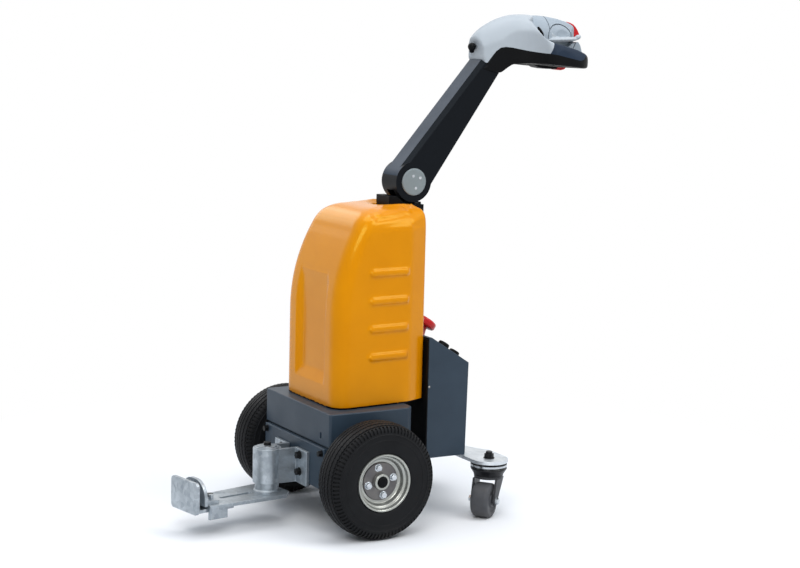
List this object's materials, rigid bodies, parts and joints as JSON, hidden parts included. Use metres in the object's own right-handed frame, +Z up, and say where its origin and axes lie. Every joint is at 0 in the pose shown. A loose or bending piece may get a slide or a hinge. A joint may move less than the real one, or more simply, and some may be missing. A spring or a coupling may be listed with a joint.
{
  "type": "pedestrian electric tow tug",
  "caption": "Walk-behind electric tow tug with a moulded cover, pneumatic drive wheels, castors on a plate, a swivelling tow hitch and a tilting tiller with a loop head.",
  "frame": {"origin": "centre of the overall length and width, on the floor under the wheels", "axes": "+X from the hitch towards the tiller head and the operator, +Y across along the wheel axle, +Z up"},
  "size_m": [1.0202, 0.5262, 1.1467],
  "materials": {
    "chassis_paint": "satin powder coat",
    "drive_casting": "bare, matt",
    "axle_steel": "machined",
    "cover": "glossy, moulded",
    "battery_case": "matt",
    "stop_button": "glossy",
    "black_trim": "satin",
    "galvanised": "galvanised",
    "tyre": "matt rubber",
    "rim": "zinc grey, satin",
    "arm": "soft sheen",
    "head_hood": "satin",
    "grip": "soft touch",
    "red_control": "satin",
    "castor_fork": "zinc plated, dull",
    "castor_housing": "black, semi-gloss",
    "castor_tread": "matt"
  },
  "bodies": {
    "chassis": {"deck": "chassis_paint", "frame": "chassis_paint", "front_plate": "chassis_paint", "drive_unit": "drive_casting", "axle": "axle_steel", "axle_bearings": "axle_steel", "cover": "cover", "battery": "battery_case", "column": "chassis_paint", "tiller_bracket": "chassis_paint", "pivot_pin": "axle_steel", "control_box": "chassis_paint", "box_panel": "black_trim", "stop_button": "stop_button", "key_switch": "black_trim", "charge_socket": "black_trim", "castor_plate": "galvanised", "hitch_bracket": "galvanised"},
    "hitch": {"hitch_pin": "galvanised", "drawbar": "galvanised", "jaw_outer": "galvanised", "jaw_inner": "galvanised"},
    "wheel_left": {"tyre_left": "tyre", "rim_left": "rim", "hub_left": "black_trim"},
    "wheel_right": {"tyre_right": "tyre", "rim_right": "rim", "hub_right": "black_trim"},
    "tiller": {"tiller_arm": "arm", "pivot_caps": "black_trim", "head_hood": "head_hood", "head_lower_shell": "arm", "console": "head_hood", "grip_left": "grip", "grip_right": "grip", "throttle_levers": "grip", "belly_button": "red_control", "trigger": "red_control"},
    "castor_left": {"castor_housing_left": "castor_housing", "castor_fork_left": "castor_fork"},
    "castor_right": {"castor_housing_right": "castor_housing", "castor_fork_right": "castor_fork"},
    "castor_wheel_left": {"castor_wheel_left": "castor_tread"},
    "castor_wheel_right": {"castor_wheel_right": "castor_tread"}
  },
  "joints": [
    {"name": "wheel_left_spin", "type": "hinge", "parent": "chassis", "child": "wheel_left", "pos_m": [-0.12543, 0.2206, 0.13], "axis": [0, 1, 0], "continuous": true},
    {"name": "wheel_right_spin", "type": "hinge", "parent": "chassis", "child": "wheel_right", "pos_m": [-0.12543, -0.2206, 0.13], "axis": [0, 1, 0], "continuous": true},
    {"name": "hitch_swivel", "type": "hinge", "parent": "chassis", "child": "hitch", "pos_m": [-0.28443, 0, 0.13], "axis": [0, 0, 1], "range_deg": [-55, 35]},
    {"name": "tiller_tilt", "type": "hinge", "parent": "chassis", "child": "tiller", "pos_m": [0.05817, 0, 0.7617], "axis": [0, 1, 0], "range_deg": [-34, 45]},
    {"name": "castor_left_swivel", "type": "hinge", "parent": "chassis", "child": "castor_left", "pos_m": [0.20257, 0.163, 0.11], "axis": [0, 0, 1], "continuous": true},
    {"name": "castor_right_swivel", "type": "hinge", "parent": "chassis", "child": "castor_right", "pos_m": [0.20257, -0.163, 0.11], "axis": [0, 0, 1], "continuous": true},
    {"name": "castor_left_roll", "type": "hinge", "parent": "castor_left", "child": "castor_wheel_left", "pos_m": [0.18209, 0.14699, 0.04], "axis": [0.6157, -0.788, 0], "continuous": true},
    {"name": "castor_right_roll", "type": "hinge", "parent": "castor_right", "child": "castor_wheel_right", "pos_m": [0.18209, -0.17901, 0.04], "axis": [0.6157, -0.788, 0], "continuous": true}
  ]
}
